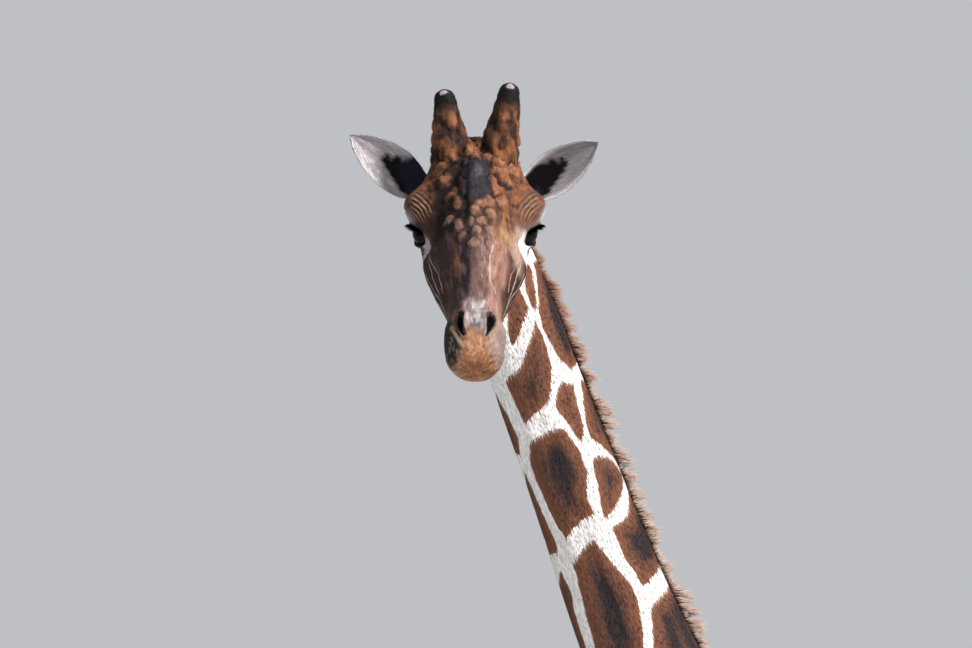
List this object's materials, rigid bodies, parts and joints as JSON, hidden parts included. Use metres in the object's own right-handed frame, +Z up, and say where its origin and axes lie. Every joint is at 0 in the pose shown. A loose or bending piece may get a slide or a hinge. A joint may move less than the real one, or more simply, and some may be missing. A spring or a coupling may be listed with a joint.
{
  "type": "reticulated giraffe, adult bull, still model",
  "caption": "Life-size standing bull reticulated giraffe with its head turned to its left, a brush mane, blunt bald-tipped ossicones and a tufted tail.",
  "frame": {"origin": "on the floor, below the middle of the whole figure's box", "axes": "the body faces -Y, its left side is +X, +Z is up; the head is turned 70 degrees to its left"},
  "size_m": [0.8882, 3.062, 4.9199],
  "materials": {
    "coat": "short flat hair, brown patches parted by white lines",
    "mane_hair": "stiff upright brush of hair, paler at the tips",
    "tail_hair": "long coarse black hair",
    "horn_skin": "haired skin over bone, rusty brown, black round a bald worn tip",
    "eye": "wet and very dark brown",
    "hoof": "dull brown horn with growth rings"
  },
  "bodies": {
    "root": {"ear_left": "coat", "ear_right": "coat", "eye_left": "eye", "eye_right": "eye", "head": "coat", "hoof_fore_left_inner": "hoof", "hoof_fore_left_outer": "hoof", "hoof_fore_right_inner": "hoof", "hoof_fore_right_outer": "hoof", "hoof_hind_left_inner": "hoof", "hoof_hind_left_outer": "hoof", "hoof_hind_right_inner": "hoof", "hoof_hind_right_outer": "hoof", "leg_fore_left_lower": "coat", "leg_fore_left_upper": "coat", "leg_fore_right_lower": "coat", "leg_fore_right_upper": "coat", "leg_hind_left_lower": "coat", "leg_hind_left_upper": "coat", "leg_hind_right_lower": "coat", "leg_hind_right_upper": "coat", "mane": "mane_hair", "neck_lower": "coat", "neck_upper": "coat", "ossicone_left": "horn_skin", "ossicone_right": "horn_skin", "tail": "coat", "tail_tuft": "tail_hair", "trunk": "coat"}
  },
  "joints": []
}
